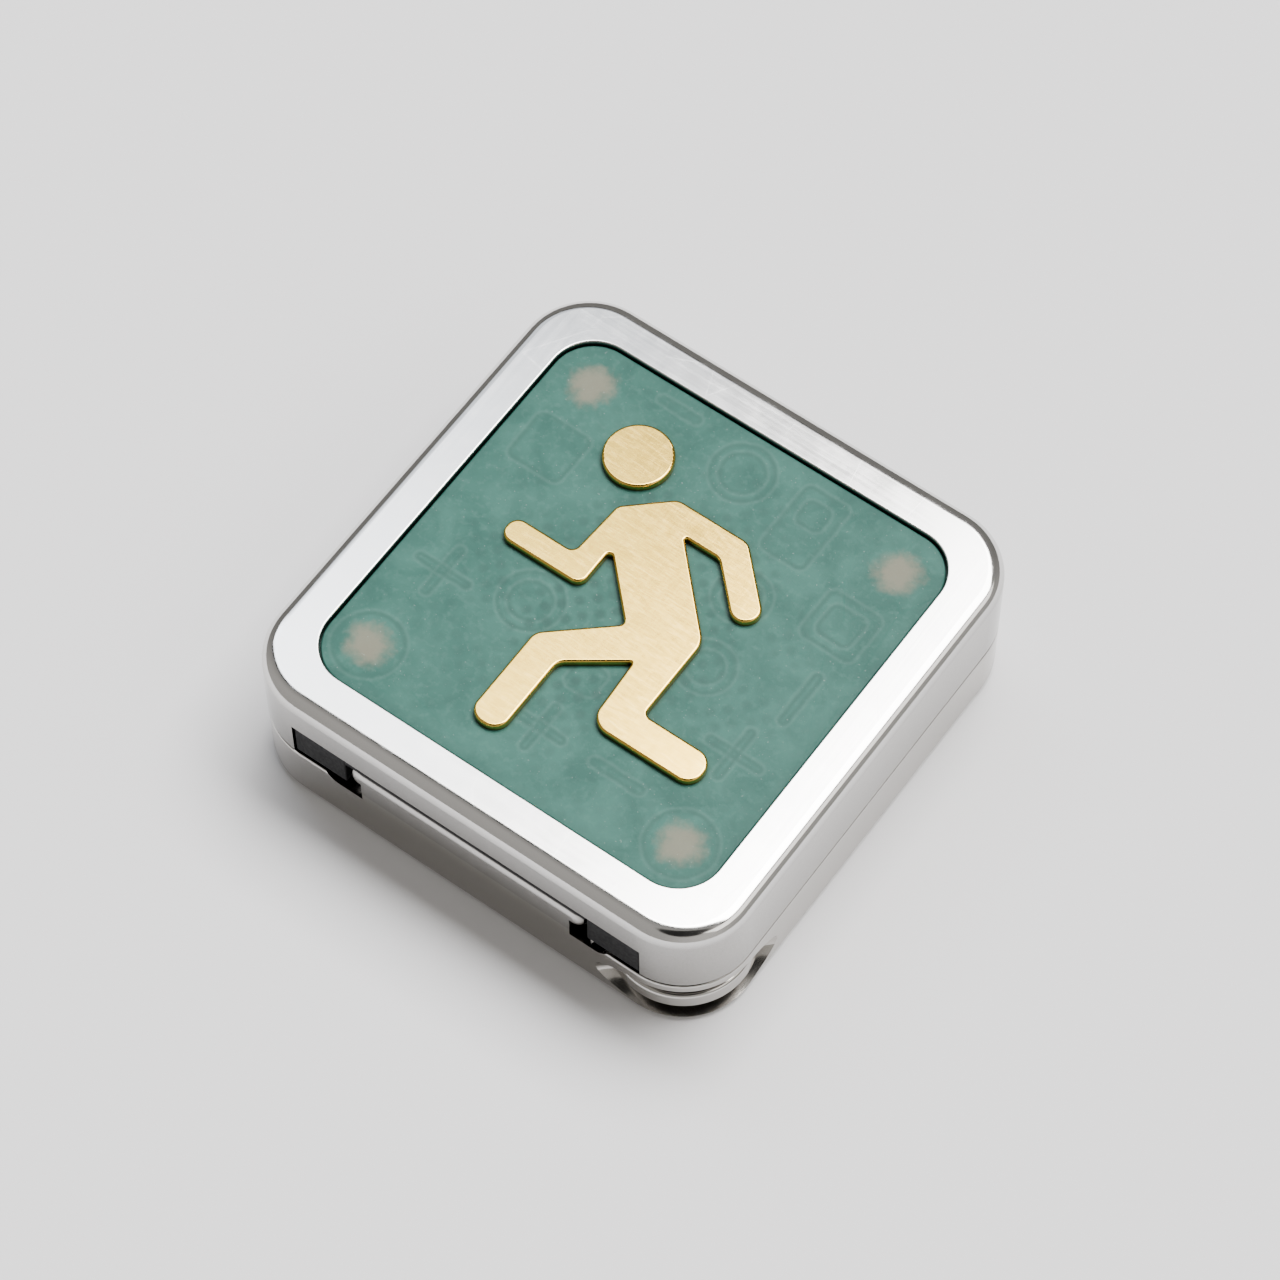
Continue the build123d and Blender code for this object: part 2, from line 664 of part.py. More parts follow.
def switch_tip():
    return BOARD_BOTTOM - SWITCH_T - SWITCH_TIP_T


def light_button():
    cap = disc(BUTTON_X, BUTTON_Y, button_face(), flange_top(), BUTTON_R)
    cap = fillet(edges_at_height(cap, button_face()), BUTTON_EDGE_R)
    flange = disc(BUTTON_X, BUTTON_Y, button_shoulder() + CLOSE_FIT, flange_top(), BUTTON_FLANGE_R)
    stem_top = switch_tip() - BUTTON_TRAVEL - RUNNING_FIT
    stem = disc(BUTTON_X, BUTTON_Y, flange_top(), stem_top, BUTTON_STEM_R)
    return cap + flange + stem


def push_switch():
    body_low = BOARD_BOTTOM - SWITCH_T
    body = place(BUTTON_X, BUTTON_Y, BOARD_BOTTOM - SWITCH_T / 2) * Box(SWITCH_SIDE, SWITCH_SIDE, SWITCH_T)
    return body + disc(BUTTON_X, BUTTON_Y, switch_tip(), body_low, SWITCH_TIP_R)


def button_spring():
    low = flange_top() + BUTTON_SPRING_WIRE_R + CLOSE_FIT
    high = BOARD_BOTTOM - SWITCH_T - BUTTON_SPRING_WIRE_R - CLOSE_FIT
    spring = coil(BUTTON_SPRING_R, BUTTON_SPRING_WIRE_R, high - low, BUTTON_SPRING_TURNS)
    return Pos(BUTTON_X, BUTTON_Y, low) * spring


def model():
    pin = hinge_pin()
    knuckle_block = knuckle()
    return {
        "base_shell": base_shell(),
        "base_liner": base_liner(),
        "base_magnets": base_magnets(),
        "lanyard_bar": lanyard_bar(),
        "hinge_spring": hinge_spring(),
        "lid_shell": lid_shell(),
        "lid_magnets": lid_magnets(),
        "knuckle_right": knuckle_block,
        "knuckle_left": mirrored(knuckle_block),
        "hinge_strip": hinge_strip(),
        "hinge_pin_right": pin,
        "hinge_pin_left": mirrored(pin),
        "lens": lens(),
        "lens_gasket": lens_gasket(),
        "figure_body": figure_body(),
        "figure_head": figure_head(),
        "circuit_board": circuit_board(),
        "board_screws": board_screws(),
        "control_chip": control_chip(),
        "light_chips": light_chips(),
        "inductors": inductors(),
        "chassis": chassis(),
        "coin_cell": coin_cell(),
        "cell_contact": cell_contact(),
        "battery_door": battery_door(),
        "door_screw": door_screw(),
        "light_button": light_button(),
        "push_switch": push_switch(),
        "button_spring": button_spring(),
    }


os.makedirs("parts", exist_ok=True)
for node, shape in model().items():
    export_step(shape, f"parts/{node}.step")
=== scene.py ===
import json
import math

import bpy
from mathutils import Matrix, Vector


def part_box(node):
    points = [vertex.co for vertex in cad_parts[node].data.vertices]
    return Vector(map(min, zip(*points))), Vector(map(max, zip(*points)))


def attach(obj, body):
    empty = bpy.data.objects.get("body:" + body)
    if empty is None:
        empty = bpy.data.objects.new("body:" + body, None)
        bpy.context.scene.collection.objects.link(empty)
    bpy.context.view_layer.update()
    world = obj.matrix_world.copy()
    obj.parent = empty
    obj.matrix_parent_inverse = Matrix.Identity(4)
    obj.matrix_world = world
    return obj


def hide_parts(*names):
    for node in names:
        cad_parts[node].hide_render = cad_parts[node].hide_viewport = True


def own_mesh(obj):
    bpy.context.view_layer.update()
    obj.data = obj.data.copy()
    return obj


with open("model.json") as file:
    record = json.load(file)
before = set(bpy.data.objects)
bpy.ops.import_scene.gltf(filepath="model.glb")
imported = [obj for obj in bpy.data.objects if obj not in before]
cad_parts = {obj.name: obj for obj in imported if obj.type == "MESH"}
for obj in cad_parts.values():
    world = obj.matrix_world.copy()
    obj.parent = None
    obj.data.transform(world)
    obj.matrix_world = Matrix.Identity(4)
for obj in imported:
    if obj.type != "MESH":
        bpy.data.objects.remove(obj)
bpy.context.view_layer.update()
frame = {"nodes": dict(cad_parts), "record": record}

MM = 0.001
FALLING = (1.0, 0.0)

# Spans of a noise texture's values, from the narrowest to the widest.
NOISE_MIDDLE = (0.35, 0.65)
NOISE_CORE = (0.3, 0.7)
NOISE_MOST = (0.2, 0.8)

# Sockets of a Mix node that is set to colours, which share their names with its other sockets.
MIX_FIRST_COLOR = 6
MIX_SECOND_COLOR = 7
MIX_RESULT_COLOR = 2


# ---------------------------------------------------------------- node trees
def shade(color, factor):
    """A colour made darker or paler by one factor."""
    return tuple(factor * value for value in color)


class Graph:
    """Short calls for building a node tree."""

    def __init__(self, node_tree):
        self.nodes = node_tree.nodes
        self.links = node_tree.links

    def add(self, kind, **settings):
        node = self.nodes.new(kind)
        for key, value in settings.items():
            setattr(node, key, value)
        return node

    def put(self, node, socket, value):
        """Sets a socket to a number, or links it to another node's output."""
        if isinstance(value, bpy.types.NodeSocket):
            self.links.new(value, node.inputs[socket])
        else:
            node.inputs[socket].default_value = value

    def put_color(self, node, socket, color):
        """Sets a socket to a colour of three numbers, or links it to another node's output."""
        is_linked = isinstance(color, bpy.types.NodeSocket)
        self.put(node, socket, color if is_linked else (*color, 1.0))

    def math(self, operation, first, second=0.0, third=0.0):
        node = self.add("ShaderNodeMath", operation=operation)
        self.put(node, 0, first)
        self.put(node, 1, second)
        self.put(node, 2, third)
        return node.outputs[0]

    def spread(self, value, span, to=(0.0, 1.0), smooth=False):
        """Maps a value's span of (low, high) to another one, and clamps beyond its ends."""
        kind = "SMOOTHSTEP" if smooth else "LINEAR"
        node = self.add("ShaderNodeMapRange", interpolation_type=kind)
        self.put(node, "Value", value)
        self.put(node, "From Min", span[0])
        self.put(node, "From Max", span[1])
        self.put(node, "To Min", to[0])
        self.put(node, "To Max", to[1])
        return node.outputs["Result"]

    def within(self, value, span, soft):
        """1 inside the span, falling smoothly to 0 over the soft width on each side."""
        low, high = span
        rise = self.spread(value, (low - soft, low + soft), smooth=True)
        fall = self.spread(value, (high - soft, high + soft), to=FALLING, smooth=True)
        return self.math("MULTIPLY", rise, fall)

    def mix(self, factor, first, second):
        """The first colour where the factor is 0, and the second where it is 1."""
        node = self.add("ShaderNodeMix", data_type="RGBA")
        self.put(node, "Factor", factor)
        self.put_color(node, MIX_FIRST_COLOR, first)
        self.put_color(node, MIX_SECOND_COLOR, second)
        return node.outputs[MIX_RESULT_COLOR]

    def cover(self, color, over, mask, strength):
        """Lays another colour over the first where the mask is 1, at the strength given."""
        return self.mix(self.math("MULTIPLY", mask, strength), color, over)

    def split(self, vector):
        node = self.add("ShaderNodeSeparateXYZ")
        self.put(node, "Vector", vector)
        return node.outputs


class Surface(Graph):
    """A material with its shader and the object's own coordinates."""

    INPUTS = {
        "color": "Base Color",
        "roughness": "Roughness",
        "metallic": "Metallic",
        "normal": "Normal",
        "specular": "Specular IOR Level",
    }

    def __init__(self, name):
        self.material = bpy.data.materials.new(name)
        self.material.use_nodes = True
        super().__init__(self.material.node_tree)
        self.shader = self.nodes["Principled BSDF"]
        self.place = self.add("ShaderNodeTexCoord").outputs["Object"]

    def stretched(self, scale, turn=0.0):
        """Object coordinates scaled along each axis, for grain that runs one way."""
        node = self.add("ShaderNodeMapping")
        self.put(node, "Vector", self.place)
        node.inputs["Scale"].default_value = scale
        node.inputs["Rotation"].default_value = (0.0, 0.0, turn)
        return node.outputs["Vector"]

    def noise(self, size_mm, detail=2.0, roughness=0.5, distortion=0.0, vector=None):
        node = self.add("ShaderNodeTexNoise")
        self.put(node, "Vector", vector or self.place)
        self.put(node, "Scale", 1.0 / (size_mm * MM))
        self.put(node, "Detail", detail)
        self.put(node, "Roughness", roughness)
        self.put(node, "Distortion", distortion)
        return node.outputs["Fac"]

    def scratches(self, size_mm, width, vector=None):
        """Hairlines between the cells of a pattern: 1 on a line, 0 away from it."""
        node = self.add("ShaderNodeTexVoronoi", feature="DISTANCE_TO_EDGE")
        self.put(node, "Vector", vector or self.place)
        self.put(node, "Scale", 1.0 / (size_mm * MM))
        return self.spread(node.outputs["Distance"], (0.0, width), to=FALLING)

    def crevice(self, reach_mm):
        """1 on open surface, falling to 0 deep in a gap."""
        node = self.add("ShaderNodeAmbientOcclusion", samples=8)
        self.put(node, "Distance", reach_mm * MM)
        return node.outputs["AO"]

    def bump(self, height, depth_mm, strength, onto=None):
        node = self.add("ShaderNodeBump")
        self.put(node, "Height", height)
        self.put(node, "Distance", depth_mm * MM)
        self.put(node, "Strength", strength)
        if onto is not None:
            self.put(node, "Normal", onto)
        return node.outputs["Normal"]

    def finish(self, color, **inputs):
        """Sets the shader's inputs, by the short names above, and returns the material."""
        self.put(self.shader, self.INPUTS["color"], color)
        for key, value in inputs.items():
            self.put(self.shader, self.INPUTS[key], value)
        return self.material


# ---------------------------------------------------------------- polished steel
STEEL = (0.76, 0.752, 0.74)
# Painted shade: a near black laid into the steel's seams and gaps.
STEEL_SEAM_SHADE = (0.012, 0.012, 0.012)
# Painted shade: darker steel for the lid's and the base's walls, the base darker, where they mirror
# the shadowed floor.
LID_WALL_SHADE = (0.25, 0.241, 0.228)
BASE_WALL_SHADE = (0.38, 0.364, 0.341)

# Heights above the floor between which the steel's look changes: its painted wall and seam shade, and
# its haze.
BASE_TO_LID = (5.4 * MM, 5.6 * MM)
WALL_TO_LENS = (10.9 * MM, 11.3 * MM)
FOOT_TO_WALL = (1.5 * MM, 2.3 * MM)
FLOOR_HAZE = (0.4 * MM, 2.5 * MM)

# Reaches of the ambient occlusion that paints shade into the seams and onto the walls.
SEAM_SHADE_REACH_MM = 0.9
WALL_SHADE_REACH_MM = 40.0


def side_grain(surface, size_mm, along, across):
    """Brushing that runs along each side of the square, mitred at the corners."""
    x, y, _ = surface.split(surface.place)
    on_x_sides = surface.math("GREATER_THAN", surface.math("ABSOLUTE", x), surface.math("ABSOLUTE", y))
    along_y = surface.noise(size_mm, 3.0, vector=surface.stretched((across, along, across)))
    along_x = surface.noise(size_mm, 3.0, vector=surface.stretched((along, across, across)))
    difference = surface.math("SUBTRACT", along_y, along_x)
    return surface.math("MULTIPLY_ADD", difference, on_x_sides, along_x)


def steel_color(surface, cloud, height):
    """Pale where the steel faces the room, with painted shade: darker on the walls and near black in
    the seams.

    Gaps stay free of the painted seam shade at the foot of the case, and from the lens's underside
    upward.
    """
    metal = surface.mix(cloud, shade(STEEL, 0.93), STEEL)
    # Painted shade in the seams, from a short ambient occlusion.
    seam_unshaded = surface.spread(surface.crevice(SEAM_SHADE_REACH_MM), (0.4, 0.85), smooth=True)
    beside_window = surface.spread(height, WALL_TO_LENS)
    beside_floor = surface.spread(height, FOOT_TO_WALL, to=FALLING)
    no_seam_shade = surface.math("MAXIMUM", seam_unshaded, surface.math("MAXIMUM", beside_window, beside_floor))
    # Painted shade on the walls, from a wide ambient occlusion, darker on the base than on the lid.
    wall_shade = surface.mix(surface.spread(height, BASE_TO_LID), BASE_WALL_SHADE, LID_WALL_SHADE)
    metal = surface.mix(surface.spread(surface.crevice(WALL_SHADE_REACH_MM), (0.62, 0.95)), wall_shade, metal)
    return surface.mix(no_seam_shade, STEEL_SEAM_SHADE, metal)


def steel_roughness(surface, smudge, grain, hairline, height):
    """Near mirror, dulled by smudges, brushing, hairlines and a haze beside the floor."""
    rough = surface.math("ADD", surface.spread(smudge, (0.3, 0.75), to=(0.07, 0.12)),
                         surface.spread(grain, NOISE_MIDDLE, to=(0.0, 0.03)))
    rough = surface.math("MULTIPLY_ADD", hairline, 0.04, rough)
    return surface.math("ADD", rough, surface.spread(height, FLOOR_HAZE, to=(0.1, 0.0)))


def polished_steel():
    surface = Surface("polished_steel")
    cloud = surface.noise(size_mm=7.0, detail=3.0)
    smudge = surface.noise(size_mm=1.6, detail=4.0, roughness=0.6)
    grain = side_grain(surface, size_mm=1.0, along=0.1, across=5.0)
    hairline = surface.scratches(4.5, 0.006, surface.stretched((1.0, 0.35, 1.0), turn=0.6))
    height = surface.split(surface.place)[2]
    color = steel_color(surface, cloud, height)
    rough = steel_roughness(surface, smudge, grain, hairline, height)
    normal = surface.bump(grain, depth_mm=0.002, strength=0.25)
    normal = surface.bump(hairline, depth_mm=-0.0008, strength=0.3, onto=normal)
    return surface.finish(color, roughness=rough, metallic=1.0, normal=normal)


# ---------------------------------------------------------------- brass
BRASS_DEEP = (0.60, 0.39, 0.062)
BRASS_WARM = (0.70, 0.47, 0.095)
BRASS_PALE = (0.80, 0.60, 0.22)
# Painted shade for the brass's crevices and its foot on the panel.
BRASS_CREVICE_SHADE = (0.34, 0.12, 0.015)


def brass():
    surface = Surface("brass")
    swirl = surface.noise(size_mm=3.0, distortion=2.5)
    streaks_along = surface.stretched((0.35, 2.4, 1.0), turn=0.45)
    streak = surface.noise(size_mm=0.5, detail=3.0, distortion=1.0, vector=streaks_along)
    streaks_across = surface.stretched((2.4, 0.35, 1.0), turn=-0.3)
    cross = surface.noise(size_mm=0.45, distortion=1.5, vector=streaks_across)
    metal = surface.mix(swirl, BRASS_DEEP, BRASS_WARM)
    metal = surface.mix(surface.spread(streak, (0.5, 0.78), to=(0.0, 0.3)), metal, BRASS_PALE)
    # Painted shade in the brass's crevices and at its foot, from ambient occlusion.
    unshaded_part = surface.spread(surface.crevice(reach_mm=0.5), (0.35, 0.75), smooth=True)
    color = surface.mix(unshaded_part, BRASS_CREVICE_SHADE, metal)
    rough = surface.math("ADD", surface.spread(streak, NOISE_CORE, to=(0.09, 0.15)),
                         surface.spread(cross, (0.4, 0.7), to=(0.0, 0.03)))
    normal = surface.bump(streak, depth_mm=0.003, strength=0.2)
    normal = surface.bump(cross, depth_mm=0.002, strength=0.15, onto=normal)
    return surface.finish(color, roughness=rough, metallic=1.0, normal=normal)


# ---------------------------------------------------------------- green panel
PANEL_SIDE_MM = 33.0
PANEL_CORNER_MM = 0.5
RIM_WIDTH_MM = 1.4
OUTLINE_WOBBLE_MM = 0.06
DARK_LINE_MM = 0.3
PALE_LINE_MM = 0.24
PAD_X_MM = 13.2
PAD_Y_MM = 13.0
PAD_RAGGED_MM = 0.5
DOT_SPACING_MM = 1.25

GREEN_DEEP = (0.017, 0.080, 0.063)
GREEN = (0.031, 0.117, 0.093)
GREEN_PALE = (0.085, 0.19, 0.16)
GREEN_LIP = (0.085, 0.185, 0.155)
GREEN_OUTLINE = (0.018, 0.062, 0.050)
GREEN_DOT = (0.016, 0.056, 0.046)
GREEN_RIM = (0.014, 0.060, 0.048)
# Painted shade for the panel beside the figure.
GREEN_CONTACT_SHADE = (0.010, 0.030, 0.024)
PALE_PAD = (0.21, 0.18, 0.13)
DUST = (0.25, 0.33, 0.30)


class Panel(Surface):
    """The green panel, with the shapes that show faintly under its top."""

    def __init__(self, name):
        super().__init__(name)
        self.x, self.y, _ = self.split(self.place)
        wobble = self.noise(size_mm=1.5)
        reach = OUTLINE_WOBBLE_MM * MM
        self.wobble = self.spread(wobble, NOISE_MOST, to=(-reach, reach))

    def offset(self, x_mm, y_mm):
        return self.math("SUBTRACT", self.x, x_mm * MM), self.math("SUBTRACT", self.y, y_mm * MM)

    def distance(self, x_mm, y_mm):
        dx, dy = self.offset(x_mm, y_mm)
        squares = self.math("MULTIPLY_ADD", dx, dx, self.math("MULTIPLY", dy, dy))
        return self.math("ADD", self.math("SQRT", squares), self.wobble)

    def ring(self, x_mm, y_mm, radius_mm):
        """Signed distance to a circle, in metres."""
        return self.math("SUBTRACT", self.distance(x_mm, y_mm), radius_mm * MM)

    def rectangle(self, x_mm, y_mm, width_mm, length_mm):
        """Signed distance to a rectangle with rounded corners, in metres."""
        corner_mm = min(PANEL_CORNER_MM, width_mm / 2, length_mm / 2)
        dx, dy = self.offset(x_mm, y_mm)
        over_x = self.math("SUBTRACT", self.math("ABSOLUTE", dx), (width_mm / 2 - corner_mm) * MM)
        over_y = self.math("SUBTRACT", self.math("ABSOLUTE", dy), (length_mm / 2 - corner_mm) * MM)
        out_x = self.math("MAXIMUM", over_x, 0.0)
        out_y = self.math("MAXIMUM", over_y, 0.0)
        squares = self.math("MULTIPLY_ADD", out_x, out_x, self.math("MULTIPLY", out_y, out_y))
        inner = self.math("MINIMUM", self.math("MAXIMUM", over_x, over_y), 0.0)
        signed = self.math("ADD", self.math("SQRT", squares), inner)
        return self.math("ADD", self.math("SUBTRACT", signed, corner_mm * MM), self.wobble)

    def line(self, signed, width_mm):
        """A soft line on a shape's outline: 1 on the line, 0 away from it."""
        away = self.math("ABSOLUTE", signed)
        return self.spread(away, (0.0, width_mm * MM), to=FALLING, smooth=True)

    def lip(self, signed, width_mm):
        """A soft line just outside a shape's outline."""
        outside = self.math("SUBTRACT", signed, width_mm * MM)
        return self.line(outside, width_mm)

    def strongest(self, values):
        total = values[0]
        for value in values[1:]:
            total = self.math("MAXIMUM", total, value)
        return total


def panel_rings(panel):
    """Round parts under the panel: place, and the radii of their outlines."""
    places = [
        (-0.25, 13.3, (2.3, 1.6)),
        (-6.2, -3.7, (2.3, 1.5)),
        (5.5, 5.1, (2.0, 1.3)),
        (6.7, -0.9, (2.0, 1.2)),
        (-PAD_X_MM, -PAD_Y_MM, (2.5,)),
        (PAD_X_MM, -PAD_Y_MM, (2.5,)),
    ]
    return [panel.ring(x, y, radius) for x, y, radii in places for radius in radii]


def panel_rectangles(panel):
    """Square parts and crossed strips under the panel: place, width and length."""
    places = [
        (5.85, 12.2, 3.5, 6.0),
        (5.85, 13.3, 1.9, 1.9),
        (12.4, 7.15, 4.2, 4.1),
        (12.4, 7.15, 2.6, 2.5),
        (-12.55, 7.1, 4.3, 4.2),
        (-6.9, 15.0, 3.4, 0.5),
        (-12.6, -5.3, 4.4, 0.45),
        (-12.6, -5.3, 0.45, 4.4),
        (12.2, -5.3, 4.4, 0.45),
        (12.2, -5.3, 0.45, 4.4),
        (0.2, -11.3, 4.0, 0.45),
        (0.2, -11.3, 0.45, 4.0),
        (0.5, -6.4, 2.2, 2.2),
        (6.7, -11.3, 4.2, 0.5),
        (13.4, 0.8, 0.5, 4.6),
    ]
    return [panel.rectangle(*place) for place in places]


def panel_dots(panel):
    """Staggered dots that come and go under the middle of the panel."""
    node = panel.add("ShaderNodeTexVoronoi", feature="F1")
    panel.put(node, "Vector", panel.stretched((1.0, 1.0, 0.0), turn=math.radians(45)))
    panel.put(node, "Scale", 1.0 / (DOT_SPACING_MM * MM))
    panel.put(node, "Randomness", 0.12)
    spot = panel.spread(node.outputs["Distance"], (0.15, 0.45), to=FALLING, smooth=True)
    patch = panel.spread(panel.noise(size_mm=6.0), (0.36, 0.56), smooth=True)
    from_middle = panel.distance(0.0, 0.0)
    middle = panel.spread(from_middle, (6.0 * MM, 15.0 * MM), to=(1.0, 0.25), smooth=True)
    return panel.math("MULTIPLY", spot, panel.math("MULTIPLY", patch, middle))


def panel_pads(panel):
    """Four pale fixing pads near the corners, blurred by the panel above them."""
    reach = PAD_RAGGED_MM * MM
    uneven = panel.noise(size_mm=0.9, detail=3.0, roughness=0.6)
    ragged = panel.spread(uneven, NOISE_MOST, to=(-reach, reach))
    pads = []
    for x in (-PAD_X_MM, PAD_X_MM):
        for y in (-PAD_Y_MM, PAD_Y_MM):
            away = panel.math("ADD", panel.distance(x, y), ragged)
            pads.append(panel.spread(away, (0.7 * MM, 2.2 * MM), to=FALLING, smooth=True))
    return panel.strongest(pads)


def clouded_green(panel, mottle, fine):
    """The green of the panel itself."""
    color = panel.mix(panel.spread(mottle, NOISE_MIDDLE), GREEN_DEEP, GREEN)
    return panel.mix(panel.spread(fine, (0.5, 0.72), to=(0.0, 0.25)), color, GREEN_PALE)


def parts_under(panel, color, mottle):
    """The green with the outlines, dots and pads that show through it."""
    outlines = panel_rings(panel) + panel_rectangles(panel)
    dark_lines = panel.strongest([panel.line(outline, DARK_LINE_MM) for outline in outlines])
    pale_lines = panel.strongest([panel.lip(outline, PALE_LINE_MM) for outline in outlines])
    clouding = panel.spread(mottle, NOISE_MIDDLE, to=(0.15, 0.55))
    dark_lines = panel.math("MULTIPLY", dark_lines, clouding)
    color = panel.cover(color, GREEN_LIP, pale_lines, strength=0.2)
    color = panel.mix(dark_lines, color, GREEN_OUTLINE)
    color = panel.cover(color, GREEN_DOT, panel_dots(panel), strength=0.6)
    return panel.cover(color, PALE_PAD, panel_pads(panel), strength=0.7)


def lens_green():
    panel = Panel("green_lens")
    mottle = panel.noise(size_mm=3.4, detail=4.0, roughness=0.55, distortion=0.8)
    fine = panel.noise(size_mm=0.55, detail=2.0, roughness=0.6)
    color = clouded_green(panel, mottle, fine)
    color = parts_under(panel, color, mottle)
    outline = panel.rectangle(0.0, 0.0, PANEL_SIDE_MM, PANEL_SIDE_MM)
    rim = panel.spread(outline, (-RIM_WIDTH_MM * MM, 0.0), smooth=True)
    color = panel.cover(color, GREEN_RIM, rim, strength=0.3)
    dust = panel.spread(panel.noise(size_mm=0.16, detail=1.0), (0.74, 0.8))
    color = panel.cover(color, DUST, dust, strength=0.5)
    # Painted shade beside the figure, from ambient occlusion, kept off the panel's rim.
    unshaded_by_figure = panel.spread(panel.crevice(reach_mm=0.6), (0.2, 0.85), smooth=True)
    unshaded_part = panel.math("MAXIMUM", unshaded_by_figure, rim)
    color = panel.mix(unshaded_part, GREEN_CONTACT_SHADE, color)
    hairline = panel.scratches(5.0, 0.004, panel.stretched((1.0, 0.3, 1.0), turn=0.9))
    satin = panel.spread(fine, NOISE_CORE, to=(0.34, 0.46))
    rough = panel.math("MULTIPLY_ADD", hairline, 0.15, satin)
    normal = panel.bump(mottle, depth_mm=0.02, strength=0.35)
    normal = panel.bump(fine, depth_mm=0.004, strength=0.3, onto=normal)
    return panel.finish(color, roughness=rough, normal=normal, specular=0.12)


# ---------------------------------------------------------------- plastics, board and floor
BOARD_DEEP = (0.018, 0.085, 0.05)
BOARD_GREEN = (0.035, 0.13, 0.08)
BOARD_TRACK = (0.06, 0.2, 0.12)
FLOOR_DARK = (0.705, 0.702, 0.716)
FLOOR_PALE = (0.715, 0.712, 0.726)


def moulded(name, dark, pale, roughness, grain_mm=0.22, depth_mm=0.01, specular=0.5):
    """Plastic or rubber with a fine moulded grain, rubbed pale in places."""
    surface = Surface(name)
    cloud = surface.noise(size_mm=2.2, detail=3.0)
    grain = surface.noise(grain_mm)
    rubbing = surface.noise(size_mm=0.9, detail=4.0, roughness=0.65)
    rub = surface.spread(rubbing, (0.6, 0.78), to=(0.0, 0.3))
    color = surface.mix(cloud, dark, pale)
    color = surface.mix(rub, color, shade(pale, 1.4))
    rough = surface.spread(grain, NOISE_CORE, to=(roughness - 0.06, roughness + 0.08))
    normal = surface.bump(grain, depth_mm, strength=0.4)
    return surface.finish(color, roughness=rough, normal=normal, specular=specular)


def circuit_board_green():
    surface = Surface("board")
    weave_x = surface.noise(0.25, 1.0, vector=surface.stretched((6.0, 0.5, 1.0)))
    weave_y = surface.noise(0.25, 1.0, vector=surface.stretched((0.5, 6.0, 1.0)))
    weave = surface.math("MAXIMUM", weave_x, weave_y)
    tracks = surface.scratches(size_mm=2.2, width=0.05)
    color = surface.mix(weave, BOARD_DEEP, BOARD_GREEN)
    color = surface.cover(color, BOARD_TRACK, tracks, strength=0.5)
    normal = surface.bump(tracks, depth_mm=0.02, strength=0.4)
    return surface.finish(color, roughness=0.32, normal=normal)


def plated(name, tint, roughness):
    """Bright metal with the fine marks of a turned surface."""
    surface = Surface(name)
    cloud = surface.noise(size_mm=1.4, detail=3.0)
    turned = surface.noise(size_mm=0.2, vector=surface.stretched((1.0, 1.0, 6.0)))
    color = surface.mix(cloud, shade(tint, 0.86), tint)
    rough = surface.spread(turned, NOISE_CORE, to=(roughness, roughness + 0.12))
    normal = surface.bump(turned, depth_mm=0.003, strength=0.3)
    return surface.finish(color, roughness=rough, metallic=1.0, normal=normal)


def floor_material():
    surface = Surface("floor")
    color = surface.mix(surface.noise(size_mm=60.0), FLOOR_DARK, FLOOR_PALE)
    return surface.finish(color, roughness=0.9, specular=0.2)


MATERIALS = {
    "polished_steel": polished_steel(),
    "brass": brass(),
    "green_lens": lens_green(),
    "board": circuit_board_green(),
    "black_knuckle": moulded("black_knuckle", dark=(0.003, 0.003, 0.0035), pale=(0.006, 0.006, 0.007),
                             roughness=0.55, specular=0.12),
    "chassis_plastic": moulded("chassis_plastic", dark=(0.016, 0.016, 0.017),
                               pale=(0.026, 0.026, 0.028), roughness=0.55),
    "gasket_rubber": moulded("gasket_rubber", dark=(0.02, 0.06, 0.05), pale=(0.03, 0.08, 0.065),
                             roughness=0.7),
    "component_plastic": moulded("component_plastic", dark=(0.02, 0.02, 0.022),
                                 pale=(0.035, 0.035, 0.038), roughness=0.5),
    "light_chip": moulded("light_chip", dark=(0.56, 0.54, 0.38), pale=(0.66, 0.64, 0.50),
                          roughness=0.35),
    "liner_rubber": moulded("liner_rubber", dark=(0.020, 0.022, 0.024), pale=(0.034, 0.037, 0.040),
                            roughness=0.8, grain_mm=0.35, depth_mm=0.06, specular=0.3),
    "button_plastic": moulded("button_plastic", dark=(0.20, 0.21, 0.22), pale=(0.27, 0.28, 0.29),
                              roughness=0.4),
    "board_metal": plated("board_metal", tint=(0.80, 0.77, 0.70), roughness=0.18),
    "cell_steel": plated("cell_steel", tint=(0.72, 0.72, 0.71), roughness=0.16),
    "magnet": plated("magnet", tint=(0.66, 0.66, 0.67), roughness=0.12),
    "spring_steel": plated("spring_steel", tint=(0.60, 0.60, 0.60), roughness=0.22),
}


# ---------------------------------------------------------------- objects
SPRING_WIRE_R = 0.12 * MM
SPRING_BEVEL_RESOLUTION = 3
SPRING_TURNS = 3
STEPS_PER_TURN = 36


def add_object(name, data):
    thing = bpy.data.objects.new(name, data)
    bpy.context.scene.collection.objects.link(thing)
    return thing


